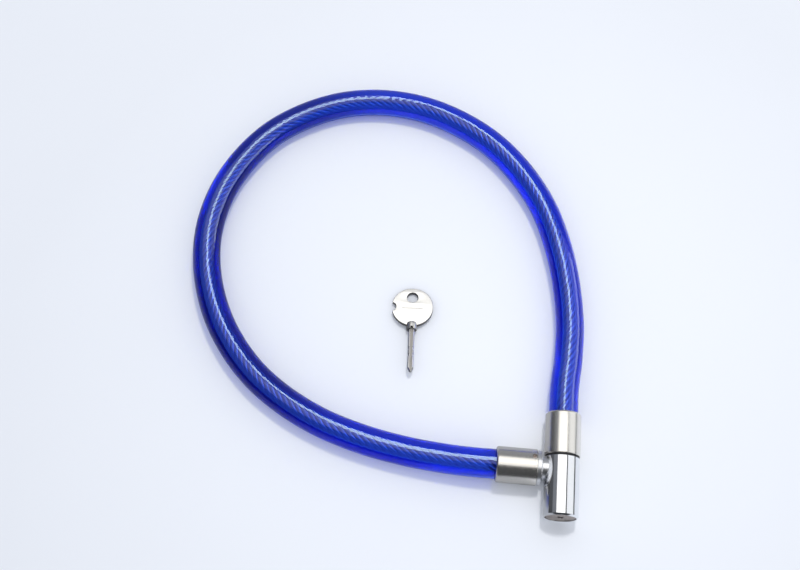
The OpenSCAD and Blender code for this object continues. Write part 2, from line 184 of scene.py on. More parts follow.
# degrees off straight up towards +Y and +X, distance, size along X and Y, brightness and colour; each one
# lights the metal, the table, the jacket's skin, the key's bow, the rope, or what lies under the jacket
softboxes = {
    "ceiling": {"tilt": 9, "lean": -3, "away": 1.3, "wide": 1.42, "deep": 1.36, "bright": 1.3,
                "colour": (1.0, 0.99, 0.97), "lights": "metal"},
    "strip": {"tilt": 8, "lean": 0, "away": 1.2, "wide": 1.0, "deep": 0.25, "bright": 0.7,
              "colour": (1.0, 0.98, 0.94), "lights": "metal"},
    "sidePanel": {"tilt": 8, "lean": 57, "away": 1.2, "wide": 1.02, "deep": 1.6, "bright": 1.0,
                  "colour": (0.96, 0.98, 1.0), "lights": "metal"},
    "leftGlow": {"tilt": 10, "lean": -46, "away": 1.3, "wide": 0.6, "deep": 1.5, "bright": 0.14,
                 "colour": (0.85, 0.90, 1.0), "lights": "metal"},
    "key": {"tilt": 17, "lean": 5, "away": 1.2, "wide": 0.14, "deep": 0.14, "bright": 70,
            "colour": (1.0, 1.0, 1.0), "lights": "table"},
    "gleam": {"tilt": 22, "lean": 1, "away": 1.2, "wide": 0.3, "deep": 0.6, "bright": 11,
              "colour": (0.66, 0.88, 1.0), "lights": "skin"},
    "edge": {"tilt": 16, "lean": 69, "away": 1.2, "wide": 0.36, "deep": 1.4, "bright": 3.6,
             "colour": (0.7, 0.85, 1.0), "lights": "skin"},
    "bow": {"tilt": 33, "lean": -4, "away": 1.2, "wide": 0.9, "deep": 0.9, "bright": 0.55,
            "colour": (1.0, 1.0, 0.99), "lights": "bow"},
    "through": {"tilt": 28, "lean": 42, "away": 1.2, "wide": 0.5, "deep": 0.6, "bright": 6,
                "colour": (1.0, 1.0, 1.0), "lights": "rope"},
    "gathered": {"tilt": -11, "lean": 4, "away": 1.2, "wide": 0.15, "deep": 0.27, "bright": 22,
                 "colour": (1.0, 1.0, 1.0), "lights": "under"},
}

linked = {kind: bpy.data.collections.new(kind) for kind in ("skin", "bow")}  # what has lamps of its own


def aimed(place, target):
    turn = (Vector(target) - Vector(place)).to_track_quat("-Z", "Y")
    return Matrix.Translation(place) @ turn.to_matrix().to_4x4()


def setUpCamera():
    lens = bpy.data.cameras.new("camera")
    lens.lens = studio["lens"]
    lens.sensor_width = studio["sensor"]
    lens.clip_start = studio["nearest"]
    camera = bpy.data.objects.new("camera", lens)
    camera.matrix_world = aimed(studio["cameraPlace"], studio["cameraAim"])
    scene.collection.objects.link(camera)
    scene.camera = camera


def setUpSoftboxes():
    for name, box in softboxes.items():
        tilt, lean = math.radians(box["tilt"]), math.radians(box["lean"])
        back = Vector((math.tan(lean), math.tan(tilt), 1)).normalized()
        side = Vector((0, 1, 0)).cross(back).normalized()
        light = bpy.data.lights.new(name, "AREA")
        light.shape = "RECTANGLE"
        light.size, light.size_y = box["wide"], box["deep"]
        light.energy = box["bright"] * math.pi * box["wide"] * box["deep"]
        light.color = box["colour"]
        lamp = bpy.data.objects.new(name, light)
        place = Matrix.Translation(Vector(studio["lampsAim"]) + back * box["away"])
        lamp.matrix_world = place @ Matrix((side, back.cross(side), back)).transposed().to_4x4()
        chooseWhatItLights(lamp, box["lights"])
        scene.collection.objects.link(lamp)


def chooseWhatItLights(lamp, lights):
    lamp.visible_glossy = lights in ("metal", *linked)
    lamp.visible_diffuse = lights == "table"
    lamp.visible_transmission = lights in ("rope", "under")
    if lights in linked:
        lamp.light_linking.receiver_collection = linked[lights]
    elif lights in ("rope", "under"):  # before, or after, its light has landed on the table
        lamp.data.use_nodes = True
        web = Web(lamp.data.node_tree)
        landed = web.add("ShaderNodeLightPath", out="Diffuse Depth").math("MINIMUM", 1)
        reach = landed if lights == "under" else 1 - landed
        web.feed(web.tree.nodes["Emission"].inputs["Strength"], reach)


def setUpRoom():  # a pale room for the table and the plastic, which polished metal sees as a dim one
    room = bpy.data.worlds.new("room")
    room.use_nodes = True
    web = Web(room.node_tree)
    background = room.node_tree.nodes["Background"]
    behind = web.parts(web.add("ShaderNodeTexCoord"))[1].math("MAXIMUM", 0) ** studio["roomShineRise"]
    shine = behind * studio["roomShineBehind"] + studio["roomShine"]
    rays = web.add("ShaderNodeLightPath", out="Is Glossy Ray")
    through = web.other(rays, "Is Transmission Ray")
    polished = rays * (1 - through)
    full = studio["roomLight"]
    strength = (shine - full) * polished + through * (studio["roomThrough"] - full) + full
    web.feed(background.inputs["Strength"], strength)
    web.feed(background.inputs["Color"], (*studio["roomColour"], 1))
    scene.world = room
    scene.view_settings.view_transform = "Standard"
    scene.cycles.blur_glossy = 0  # keeps the light that the round jacket gathers under it


setUpCamera()
setUpSoftboxes()
setUpRoom()
print("camera, softboxes and room are set up")


# finishes

def polishedChrome(name, smooth=0.07, smudged=0.14):
    look = {"colour": (0.84, 0.85, 0.87), "warm": (0.78, 0.79, 0.82), "smudges": 160,
            "ripples": 420, "rippleShape": (1, 0.35, 1), "rippleDepth": 0.004 * mm}
    finish = Finish(name)
    smudges = finish.noise(finish.place(), look["smudges"], 4, 0.6)
    ripples = finish.noise(finish.stretched(look["rippleShape"]), look["ripples"], 2, 0.4)
    finish.set(
        baseColor=finish.between(smudges, look["warm"], look["colour"]),
        metallic=1.0,
        roughness=finish.spread(smudges, smooth, smudged),
        normal=finish.bump(ripples, look["rippleDepth"], 0.5))
    return finish.material


def brushedNickel(name, grain):  # grain is how fast the brush lines change along X, Y and Z
    look = {"colour": (0.72, 0.69, 0.65), "pale": (0.80, 0.78, 0.74), "smooth": 0.22, "rough": 0.28,
            "clouds": 90, "lineDepth": 0.0024 * mm}
    finish = Finish(name)
    lines = finish.noise(finish.stretched(grain), 1, 4, 0.7)
    cloud = finish.noise(finish.place(), look["clouds"], 3)
    finish.set(
        baseColor=finish.between(lines * 0.6 + cloud * 0.4, look["colour"], look["pale"]),
        metallic=1.0,
        roughness=finish.spread(lines * 0.5 + cloud * 0.5, look["smooth"], look["rough"]),
        normal=finish.bump(lines, look["lineDepth"], 0.5))
    return finish.material


def mouldedRubber(name):
    look = {"colour": (0.010, 0.010, 0.011), "pale": (0.022, 0.022, 0.024), "smooth": 0.45, "rough": 0.65,
            "grain": 2600, "grainDepth": 0.02 * mm}
    finish = Finish(name)
    grain = finish.noise(finish.place(), look["grain"], 3)
    finish.set(
        baseColor=finish.between(grain, look["colour"], look["pale"]),
        roughness=finish.spread(grain, look["smooth"], look["rough"]),
        normal=finish.bump(grain, look["grainDepth"], 0.6))
    return finish.material


def turnedMetal(name, dark, pale, edge=1.0):  # fine rings round the lock, and painted shade darkening its outer edge
    look = {"smooth": 0.28, "rough": 0.48, "stains": 700, "rings": 26000, "ringDepth": 0.006 * mm,
            "edgeWide": 0.9 * mm}
    finish = Finish(name)
    across, _, height = finish.parts(finish.stretched((1, 1, 1), shift=(-lock["x"], 0, -lock["z"])))
    radius = (across * across + height * height) ** 0.5
    rings = (radius * look["rings"]).math("SINE") * 0.5 + 0.5
    stain = finish.noise(finish.place(), look["stains"], 4, 0.6)
    # painted shade: a dark ring at the housing's outer edge, fading inwards over edgeWide
    clearOfEdgeShade = ((edge - radius) / look["edgeWide"]).clamped()
    finish.set(
        baseColor=finish.between(stain * clearOfEdgeShade, dark, pale),
        metallic=1.0,
        roughness=finish.spread(stain, look["smooth"], look["rough"]),
        normal=finish.bump(rings, look["ringDepth"], 0.8))
    return finish.material


def plainSteel(name, dark=(0.32, 0.32, 0.33), pale=(0.55, 0.55, 0.56)):
    look = {"smooth": 0.28, "rough": 0.45, "marks": (900, 900, 260), "markDepth": 0.008 * mm}
    finish = Finish(name)
    marks = finish.noise(finish.stretched(look["marks"]), 1, 4, 0.6)
    finish.set(
        baseColor=finish.between(marks, dark, pale),
        metallic=1.0,
        roughness=finish.spread(marks, look["smooth"], look["rough"]),
        normal=finish.bump(marks, look["markDepth"], 0.6))
    return finish.material


def keyNickel(name):  # stamped and tumbled, with fine scratches both ways
    look = {"colour": (0.70, 0.69, 0.66), "pale": (0.82, 0.81, 0.79), "smooth": 0.22, "rough": 0.42,
            "tarnish": (0.07, 0.06, 0.06), "tarnished": 0.92, "tumbled": 500, "scratchDepth": 0.012 * mm,
            "across": (260, 3800, 260), "acrossTurn": 0.5, "along": (3600, 220, 300), "alongTurn": 0.2}
    finish = Finish(name)
    tumble = finish.noise(finish.place(), look["tumbled"], 4, 0.6)
    across = finish.noise(finish.stretched(look["across"], turn=(0, 0, look["acrossTurn"])), 1, 2, 0.5)
    along = finish.noise(finish.stretched(look["along"], turn=(0, 0, look["alongTurn"])), 1, 2, 0.5)
    scratches = across * along
    # painted shade: darkens the faces that don't face up, and those towards -X, by the face attribute
    tarnished = finish.carried("tarnish", "Fac") * look["tarnished"]
    metal = finish.between(tumble, look["colour"], look["pale"])
    finish.set(
        baseColor=finish.between(tarnished, metal, look["tarnish"]),
        metallic=1.0,
        roughness=finish.spread(tumble * 0.5 + scratches, look["smooth"], look["rough"]),
        normal=finish.bump(scratches + tumble * 0.3, look["scratchDepth"], 0.7))
    return finish.material


def bluePlastic(name):  # clear, over the rope, whose strands show faintly in its skin
    look = {"tint": (0.66, 0.80, 1.0), "absorbed": (0.0, 0.30, 0.985), "density": 175, "bend": 1.5,
            "smooth": 0.03, "shade": (0.36, 0.42, 0.66), "flow": 70, "grain": 900, "fine": 0.02,
            "ripple": 0.07, "uneven": 0.25 * mm}
    finish = Finish(name)
    flow = finish.noise(finish.place(), look["flow"], 2, 0.4)
    grain = finish.noise(finish.place(), look["grain"], 2, 0.5)
    x, y, run = finish.parts(finish.carried("ropeLay"))
    ripple = ((y.math("ARCTAN2", x) - run * (math.tau / rope["lay"])) * rope["strands"]).math("COSINE")
    finish.set(
        baseColor=(*look["tint"], 1),
        roughness=look["smooth"],
        iOR=look["bend"],
        transmissionWeight=1.0,
        normal=finish.bump(flow + grain * look["fine"] + ripple * look["ripple"], look["uneven"], 0.5))
    depth = finish.add("ShaderNodeVolumeAbsorption", None, {
        "Color": (*look["absorbed"], 1), "Density": look["density"]})
    shadow = finish.add("ShaderNodeLightPath", out="Is Shadow Ray")
    clear = finish.add("ShaderNodeBsdfTransparent", None, {"Color": (*look["shade"], 1)})
    skin = Signal(finish, finish.shader.outputs[0])
    end = finish.tree.nodes["Material Output"]
    finish.feed(end.inputs["Surface"], finish.add("ShaderNodeMixShader", None, {
        0: shadow, 1: skin, 2: clear}))
    finish.feed(end.inputs["Volume"], depth)
    return finish.material


def laidWire(name):  # wires wound in each strand, drawn by the angle and length that the strand carries
    look = {"wires": 7, "lay": 9 * mm, "colour": (0.26, 0.42, 0.66), "pale": (0.42, 0.58, 0.84),
            "smooth": 0.32, "rough": 0.44, "grime": 420, "wireDepth": 0.03 * mm}
    finish = Finish(name)
    x, y, run = finish.parts(finish.carried("wireLay"))
    turn = run * (math.tau / look["lay"])
    wires = (y.math("ARCTAN2", x) * look["wires"] + turn * look["wires"]).math("COSINE") * 0.5 + 0.5
    grime = finish.noise(finish.place(), look["grime"], 3, 0.6)
    finish.set(
        baseColor=finish.between(wires ** 0.6, look["colour"], look["pale"]),
        metallic=1.0,
        roughness=finish.spread(grime, look["smooth"], look["rough"]),
        normal=finish.bump(wires ** 0.5, look["wireDepth"], 0.6))
    return finish.material


# places that the solids give

def middleOf(node):
    low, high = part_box(node)
    return (low + high) / 2


lock = {
    "x": middleOf("barrel").x,
    "z": middleOf("barrel").z,
    "faceY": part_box("barrel")[0].y,
    "boltY": middleOf("bolt").y,
}

alongLock = Matrix.Translation((lock["x"], lock["faceY"], lock["z"])) @ Matrix.Rotation(-math.pi / 2, 4, "X")
alongBolt = Matrix.Translation((lock["x"], lock["boltY"], lock["z"])) @ Matrix.Rotation(math.pi / 2, 4, "Y")


def runOf(node):  # from where to where it runs along the lock
    return [corner.y - lock["faceY"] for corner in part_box(node)]


def reachOf(node):  # from where to where it reaches along the bolt
    return [corner.x - lock["x"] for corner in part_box(node)]


def radiusOf(node, side="x"):
    low, high = (getattr(corner, side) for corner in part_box(node))
    return (high - low) / 2


barrelRadius = radiusOf("barrel")


# shared ways of making meshes

crisp = 32  # the angle, in degrees, past which an edge isn't smoothed over
proud = 1 * mm  # how far a drill stands out of what it cuts


def roundTurns(count, start=0):  # angles that share out one turn
    return [start + math.tau * k / count for k in range(count)]


def onCircle(radius, angle):
    return Vector((math.cos(angle), math.sin(angle))) * radius


def roundCorners(corners, steps=5):  # corners are (radius, height) or (radius, height, rounding)
    outline = []
    for k, corner in enumerate(corners):
        at = Vector(corner[:2])
        if len(corner) < 3:
            outline.append(at)
            continue
        before = (Vector(corners[k - 1][:2]) - at).normalized()
        after = (Vector(corners[(k + 1) % len(corners)][:2]) - at).normalized()
        half = before.angle(after) / 2
        reach = corner[2] / math.tan(half)
        centre = at + (before + after).normalized() * (corner[2] / math.sin(half))
        start, end = at + before * reach - centre, at + after * reach - centre
        sweep = start.angle_signed(end)
        for step in range(steps + 1):
            outline.append(centre + Matrix.Rotation(-sweep * step / steps, 2) @ start)
    return outline


def ringsBetween(radius, start, end, count):  # so that no face gets long and thin
    return [(radius, start + (end - start) * k / count) for k in range(1, count)]


def coat(mesh, material):
    mesh.materials.clear()
    mesh.materials.append(material)


def objectFrom(name, mesh, material):
    piece = bpy.data.objects.new(name, mesh)
    scene.collection.objects.link(piece)
    coat(mesh, material)
    return piece


def meshFrom(name, shape, sharpest=crisp):
    bmesh.ops.recalc_face_normals(shape, faces=shape.faces)
    mesh = bpy.data.meshes.new(name)
    shape.to_mesh(mesh)
    shape.free()
    mesh.shade_smooth()
    mesh.set_sharp_from_angle(angle=math.radians(sharpest))
    return mesh


def joinRings(shape, rings, closed=False):  # a skin from ring to ring, whose ends are capped or meet
    following = rings[1:] + (rings[:1] if closed else [])
    for near, far in zip(rings, following):
        for k in range(len(near)):
            after = (k + 1) % len(near)
            shape.faces.new((near[k], near[after], far[after], far[k]))
    if not closed:
        shape.faces.new(rings[0])
        shape.faces.new(rings[-1])


def lathe(name, outline, place, material, sides=128):  # a ring on the axis is one corner
    shape = bmesh.new()
    turns = roundTurns(sides)
    rings = []
    for radius, height in outline:
        rings.append([
            shape.verts.new(place @ Vector((radius * math.cos(angle), radius * math.sin(angle), height)))
            for angle in (turns if radius > 1e-7 else turns[:1])])
    for low, high in zip(rings, rings[1:] + rings[:1]):
        for k in range(sides):
            around = ((low, k), (low, k + 1), (high, k + 1), (high, k))
            corners = list(dict.fromkeys(ring[at % len(ring)] for ring, at in around))
            if len(corners) > 2:
                shape.faces.new(corners)
    return objectFrom(name, meshFrom(name, shape), material)


def roundDrill(radius, start, end, place, material, sides):
    outline = [(0, start), (radius, start), (radius, end), (0, end)]
    return lathe("drill", outline, place, material, sides)


def cutOut(piece, *tools):  # each tool's shape is taken out of the piece, and the tool is thrown away
    for tool in tools:
        cutter = piece.modifiers.new("cut", "BOOLEAN")
        cutter.object = tool
        cutter.solver = "EXACT"
    bakeModifiers(piece)
    for tool in tools:
        bpy.data.objects.remove(tool)
    piece.data.set_sharp_from_angle(angle=math.radians(crisp))


def finishedMesh(piece):  # as its modifiers or its curve shape it
    view = bpy.context.evaluated_depsgraph_get()
    return bpy.data.meshes.new_from_object(piece.evaluated_get(view))


def bakeModifiers(piece):
    made = finishedMesh(piece)
    piece.modifiers.clear()
    piece.data = made


def dress(piece, body, slot, *nodes):
    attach(piece, body)
    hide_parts(*nodes)


# the cable

cable = {
    "points": [  # the route between the ferrules, as the solid's source has it
        (0.0459, 0.014, 0.0093), (0.0471, 0.026, 0.0087), (0.0475, 0.048, 0.0081),
        (0.0445, 0.074, 0.008), (0.0385, 0.0985, 0.008), (0.0295, 0.1215, 0.008),
        (0.0155, 0.143, 0.008), (-0.0025, 0.1615, 0.008), (-0.024, 0.175, 0.008),
        (-0.0475, 0.1835, 0.008), (-0.072, 0.186, 0.008), (-0.096, 0.1825, 0.008),
        (-0.118, 0.173, 0.008), (-0.138, 0.158, 0.008), (-0.153, 0.138, 0.008),
        (-0.163, 0.115, 0.008), (-0.167, 0.090, 0.008), (-0.1645, 0.065, 0.008),
        (-0.1565, 0.041, 0.008), (-0.1445, 0.0205, 0.008), (-0.1285, 0.0025, 0.008),
        (-0.1095, -0.0115, 0.008), (-0.0875, -0.0225, 0.008), (-0.0635, -0.030, 0.008),
        (-0.040, -0.0345, 0.0081), (-0.017, -0.037, 0.0088)],
    "diameter": 16 * mm,
    "length": 0.652,
    "straight": (0, 0.35, 0.7),  # diameters out of each ferrule before it bends
    "seat": 7 * mm,  # depth inside each ferrule
    "crossing": (-0.92, -0.4, 0),  # from the lock's side to the free one: the far run takes up the pull
    "ringStep": 1.6 * mm,
    "sides": 64,
}

rope = {
    "strands": 6,
    "diameter": 5.5 * mm,
    "lay": 27 * mm,  # length of one turn of a strand
    "pathStep": 4 * mm,
    "ringStep": 1.3 * mm,
    "sides": 10,
}


def smoothRoute(corners, steps=12):  # through every corner
    points = [np.array(c) for c in corners]
    padded = [points[0], *points, points[-1]]
    route = []
    for a, b, c, d in zip(padded, padded[1:], padded[2:], padded[3:]):
        for t in np.arange(steps) / steps:
            route.append((2 * b + (c - a) * t + (2 * a - 5 * b + 4 * c - d) * t ** 2
                          + (3 * b - a - 3 * c + d) * t ** 3) / 2)
    return np.array([*route, points[-1]])


def runAlong(route):  # the length from its start to each point
    return np.concatenate([[0], np.cumsum(np.linalg.norm(np.diff(route, axis=0), axis=1))])


def evenly(route, step):
    run = runAlong(route)
    places = np.linspace(0, run[-1], int(run[-1] / step) + 1)
    return np.stack([np.interp(places, run, route[:, k]) for k in range(3)], axis=1)


def cableRoute():  # from the barrel's ferrule to the bolt's ferrule, and the same with its hidden ends
    fixedMouth = Vector((lock["x"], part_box("fixed_ferrule")[1].y, lock["z"]))
    freeMouth = Vector((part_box("free_ferrule")[0].x, lock["boltY"], lock["z"]))
    away = [k * cable["diameter"] for k in cable["straight"]]
    shown = [fixedMouth + Vector((0, k, 0)) for k in away]
    shown += [Vector(p) for p in cable["points"]]
    shown += [freeMouth - Vector((k, 0, 0)) for k in reversed(away)]
    seated = [fixedMouth - Vector((0, cable["seat"], 0)), *shown, freeMouth + Vector((cable["seat"], 0, 0))]
    return smoothRoute(shown), smoothRoute(seated)


def tube(name, route, radius, sides, material):
    along = np.gradient(route, axis=0)
    along /= np.linalg.norm(along, axis=1)[:, None]
    side = np.cross(along, [0, 0, 1])
    side /= np.linalg.norm(side, axis=1)[:, None]
    up = np.cross(side, along)
    turns = roundTurns(sides)
    shape = bmesh.new()
    rings = []
    for centre, across, rise in zip(route, side, up):
        rings.append([
            shape.verts.new(centre + radius * (math.cos(angle) * across + math.sin(angle) * rise))
            for angle in turns])
    joinRings(shape, rings)
    piece = objectFrom(name, meshFrom(name, shape), material)
    carried = [(math.cos(angle), math.sin(angle), run) for run in runAlong(route) for angle in turns]
    lay = piece.data.attributes.new("ropeLay", "FLOAT_VECTOR", "POINT")
    lay.data.foreach_set("vector", np.array(carried).ravel())
    return piece


def layTree(material):  # strands wound round a path, in Geometry Nodes
    tree = bpy.data.node_groups.new("ropeLay", "GeometryNodeTree")
    sockets = {
        "Path": "Geometry", "Strands": "Int", "Rings": "Int", "Sides": "Int", "Strand radius": "Float",
        "Winding radius": "Float", "Lay": "Float"}
    for name, kind in sockets.items():
        tree.interface.new_socket(name, in_out="INPUT", socket_type="NodeSocket" + kind)
    tree.interface.new_socket("Rope", in_out="OUTPUT", socket_type="NodeSocketGeometry")
    web = Web(tree)
    given = web.add("NodeGroupInput")
    ask = {name: web.other(given, name) for name in sockets}
    line = web.add("GeometryNodeMeshToCurve", None, {"Mesh": given})
    line = web.add("GeometryNodeResampleCurve", {"mode": "COUNT"}, {"Curve": line, "Count": ask["Rings"]})
    line = web.add("GeometryNodeSetCurveNormal", {"mode": "Z_UP"}, {"Curve": line})
    copies = web.add("GeometryNodeDuplicateElements", {"domain": "SPLINE"}, {
        "Geometry": line, "Amount": ask["Strands"]})
    run = web.add("GeometryNodeSplineParameter", out="Length")
    angle = run / ask["Lay"] * math.tau + web.other(copies, "Duplicate Index") / ask["Strands"] * math.tau
    normal = web.add("GeometryNodeInputNormal")
    tangent = web.add("GeometryNodeInputTangent")
    sideways = web.vectorMath("CROSS_PRODUCT", {0: tangent, 1: normal})
    outwards = web.vectorMath("SCALE", {0: normal, "Scale": angle.math("COSINE") * ask["Winding radius"]})
    across = web.vectorMath("SCALE", {0: sideways, "Scale": angle.math("SINE") * ask["Winding radius"]})
    offset = web.vectorMath("ADD", {0: outwards, 1: across})
    wound = web.add("GeometryNodeSetPosition", None, {"Geometry": copies, "Offset": offset})
    strands = web.add("GeometryNodeJoinGeometry")
    for part in (wound, line):
        tree.links.new(part.socket, strands.socket.node.inputs[0])
    held = web.add("GeometryNodeCaptureAttribute", None, {"Geometry": strands})
    held.socket.node.capture_items.new("FLOAT", "run")
    web.feed(held.socket.node.inputs["run"], run)
    profile = web.add("GeometryNodeCurvePrimitiveCircle", None, {
        "Resolution": ask["Sides"], "Radius": ask["Strand radius"]})
    share = web.add("GeometryNodeSplineParameter", out="Factor")
    turned = web.add("GeometryNodeCaptureAttribute", None, {"Geometry": profile})
    turned.socket.node.capture_items.new("FLOAT", "turn")
    web.feed(turned.socket.node.inputs["turn"], share * math.tau)
    skin = web.add("GeometryNodeCurveToMesh", None, {
        "Curve": held, "Profile Curve": turned, "Fill Caps": True})
    turn = web.other(turned, "turn")
    carried = web.add("ShaderNodeCombineXYZ", None, {
        "X": turn.math("COSINE"), "Y": turn.math("SINE"), "Z": web.other(held, "run")})
    named = web.add("GeometryNodeStoreNamedAttribute", {"data_type": "FLOAT_VECTOR", "domain": "POINT"}, {
        "Geometry": skin, "Name": "wireLay", "Value": carried})
    smooth = web.add("GeometryNodeSetShadeSmooth", None, {"Geometry": named, "Shade Smooth": True})
    real = web.add("GeometryNodeRealizeInstances", None, {"Geometry": smooth})
    done = web.add("GeometryNodeSetMaterial", None, {"Geometry": real, "Material": material})
    result = tree.nodes.new("NodeGroupOutput")
    tree.links.new(done.socket, result.inputs[0])
    return tree


def windRope(name, route, material):
    path = bpy.data.meshes.new(name)
    path.from_pydata([tuple(p) for p in route], [(k, k + 1) for k in range(len(route) - 1)], [])
    piece = objectFrom(name, path, material)
    lay = piece.modifiers.new("lay", "NODES")
    lay.node_group = layTree(material)
    strandRadius = rope["diameter"] / 6  # three strands lie side by side across the rope
    values = {
        "Strands": rope["strands"], "Rings": int(cable["length"] / rope["ringStep"]),
        "Sides": rope["sides"], "Strand radius": strandRadius, "Winding radius": strandRadius * 2,
        "Lay": rope["lay"]}
    for item in lay.node_group.interface.items_tree:
        if item.name in values:
            lay[item.identifier] = values[item.name]
    bakeModifiers(piece)
    return piece


def makeCable():
    shown, seated = cableRoute()
    jacket = tube("jacket", evenly(seated, cable["ringStep"]), cable["diameter"] / 2, cable["sides"],
                  bluePlastic("bluePlastic"))
    linked["skin"].objects.link(jacket)
    strands = windRope("strands", evenly(seated, rope["pathStep"]), laidWire("laidWire"))
    for piece, slot, node in ((jacket, "jacket", "cable_jacket"), (strands, "rope_steel", "wire_rope")):
        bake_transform(piece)
        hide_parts(node)


makeCable()
print("cable is laid")


# the two ferrules, seal ring and barrel

ferrules = {"mouthRound": 1.2 * mm, "endRound": 0.35 * mm, "boreRound": 0.1 * mm, "wall": 1.35 * mm}


def ferruleOutline(length, radius):
    bore = radius - ferrules["wall"]
    return roundCorners([
        (bore, 0), (radius, 0, ferrules["endRound"]), *ringsBetween(radius, 0, length, 6),
        (radius, length, ferrules["mouthRound"]), (bore, length, ferrules["boreRound"])])


def makeFixedFerrule():
    start, end = runOf("fixed_ferrule")
    outline = ferruleOutline(end - start, radiusOf("fixed_ferrule"))
    piece = lathe("fixedFerrule", outline, alongLock @ Matrix.Translation((0, 0, start)),
                  brushedNickel("nickelAcross", (30, 3200, 30)))
    dress(piece, "lock", "nickel", "fixed_ferrule")


pin = {"diameter": 2.4 * mm, "tilt": 24, "inset": 1.8 * mm, "gap": 0.07 * mm, "below": 0.02 * mm,
       "long": 3 * mm, "dome": 0.12 * mm, "domeRound": 0.25 * mm, "dimple": 0.55 * mm,
       "dimpleFloor": 0.33 * mm, "dimpleDeep": 0.3 * mm, "dimpleMiddle": 0.35 * mm, "dimpleRound": 0.1 * mm}


def pinPlace():  # the pin's own axis, z out through the ferrule's skin
    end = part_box("free_ferrule")[1].x
    return (Matrix.Translation((end - pin["inset"], lock["boltY"], lock["z"]))
            @ Matrix.Rotation(math.radians(-pin["tilt"]), 4, "X"))


def makeFreeFerrule():
    start, end = reachOf("free_ferrule")
    radius = radiusOf("free_ferrule", "z")
    place = alongBolt @ Matrix.Translation((0, 0, end)) @ Matrix.Diagonal((1, 1, -1, 1))
    nickel = brushedNickel("nickelUpright", (3200, 30, 30))
    piece = lathe("freeFerrule", ferruleOutline(end - start, radius), place, nickel)
    cutOut(piece, roundDrill(pin["diameter"] / 2 + pin["gap"], 0, 2 * radius, pinPlace(), nickel, sides=48))
    dress(piece, "free_end", "nickel", "free_ferrule")
    makePin(radius - pin["below"])


def makePin(top):  # staked, with a dimple in the middle of its head
    edge, middle, soft = pin["diameter"] / 2, pin["dimple"], pin["dimpleRound"]
    head = roundCorners([
        (0, top - pin["long"]), (edge, top - pin["long"]), (edge, top - pin["dome"], pin["domeRound"]),
        (middle, top, soft), (pin["dimpleFloor"], top - pin["dimpleDeep"], soft),
        (0, top - pin["dimpleMiddle"])])
    steel = plainSteel("stakedPin", (0.36, 0.27, 0.22), (0.66, 0.56, 0.5))
    stake = lathe("boltPin", head, pinPlace(), steel, sides=48)
    dress(stake, "free_end", "pin_steel", "bolt_pin")


seal = {"bore": 8.4 * mm, "round": 0.2 * mm}


def makeSealRing():
    start, end = runOf("seal_ring")
    radius, thick = radiusOf("seal_ring"), end - start
    bore, soft = seal["bore"], seal["round"]
    outline = roundCorners([(bore, 0), (radius, 0, soft), (radius, thick, soft), (bore, thick)])
    piece = lathe("sealRing", outline, alongLock @ Matrix.Translation((0, 0, start)),
                  mouldedRubber("mouldedRubber"))
    dress(piece, "lock", "seal_rubber", "seal_ring")


cylinder = {"head": 1.2 * mm, "body": 6.95 * mm, "coreRim": 4.9 * mm, "rimThick": 1 * mm, "core": 4.2 * mm,
            "tail": 3 * mm, "tailLong": 0.9 * mm, "gap": 0.08 * mm, "rimRound": 0.12 * mm,
            "headRound": 0.2 * mm, "keyway": 4.3 * mm, "keywayArm": 1.25 * mm, "keywayDeep": 18.2 * mm}

barrel = {"faceBevel": 0.9 * mm, "topBevel": 0.5 * mm, "rim": 1.1 * mm, "bore": 7.5 * mm,
          "chamber": 6.65 * mm, "chamberEnd": 30.5 * mm, "spigot": 8.28 * mm, "ropeBore": 2.95 * mm,
          "ropeBoreFrom": 34.7 * mm, "socketHole": 5.7 * mm, "socketHoleFrom": -20 * mm,
          "socketHoleTo": -4 * mm, "faceRound": (0.3 * mm, 0.08 * mm, 0.05 * mm),
          "topRound": (0.1 * mm, 0.2 * mm)}


def makeBarrel():
    length, spigotEnd = runOf("seal_ring")[0], runOf("barrel")[1]
    housingFrom, boreEnd = runOf("cylinder_housing")
    headSeat = housingFrom + cylinder["head"]
    face, top, rim = barrel["faceBevel"], barrel["topBevel"], barrelRadius - barrel["rim"]
    spigot, bore, chamber, ropeBore = (barrel[name] for name in ("spigot", "bore", "chamber", "ropeBore"))
    topRound, faceRound = barrel["topRound"], barrel["faceRound"]
    skin = ringsBetween(barrelRadius, face, length - top, 8)
    outline = roundCorners([
        (0, barrel["ropeBoreFrom"]), (ropeBore, barrel["ropeBoreFrom"]), (ropeBore, spigotEnd),
        (spigot, spigotEnd), (spigot, length), (barrelRadius - top, length, topRound[0]),
        (barrelRadius, length - top, topRound[1]), *reversed(skin), (barrelRadius, face, faceRound[0]),
        (barrelRadius - face, 0, faceRound[1]), (rim, 0, faceRound[2]), (rim, headSeat), (bore, headSeat),
        (bore, boreEnd), (chamber, boreEnd), (chamber, barrel["chamberEnd"]), (0, barrel["chamberEnd"])])
    chrome = polishedChrome("polishedChrome")
    piece = lathe("chromeBarrel", outline, alongLock, chrome, sides=192)
    cutOut(piece, roundDrill(barrel["socketHole"], barrel["socketHoleFrom"], barrel["socketHoleTo"],
                             alongBolt, chrome, sides=64))
    dress(piece, "lock", "chrome", "barrel")


neck = {"bore": 4.08 * mm, "radius": 6 * mm, "inside": 5.6 * mm, "boreRound": 0.3 * mm,
        "mouthRound": 0.35 * mm, "sunk": 0.2 * mm, "fillet": 0.3 * mm, "filletOverlap": 0.05 * mm,
        "filletSunk": 0.25 * mm}


def makeSocket(chrome):
    start, end = reachOf("bolt_socket")
    bore, radius, inside = neck["bore"], neck["radius"], neck["inside"]
    buried = neck["sunk"] - math.sqrt(barrelRadius ** 2 - radius ** 2)  # inside the barrel's wall all round
    outline = roundCorners([
        (bore, start, neck["boreRound"]), (radius, start, neck["mouthRound"]),
        (radius, (start + buried) / 2), (radius, buried), (inside, buried), (inside, end), (bore, end)])
    piece = lathe("boltSocket", outline, alongBolt, chrome, sides=96)
    dress(piece, "lock", "chrome", "bolt_socket")
    seat = socketFillet(chrome)
    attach(seat, "lock")


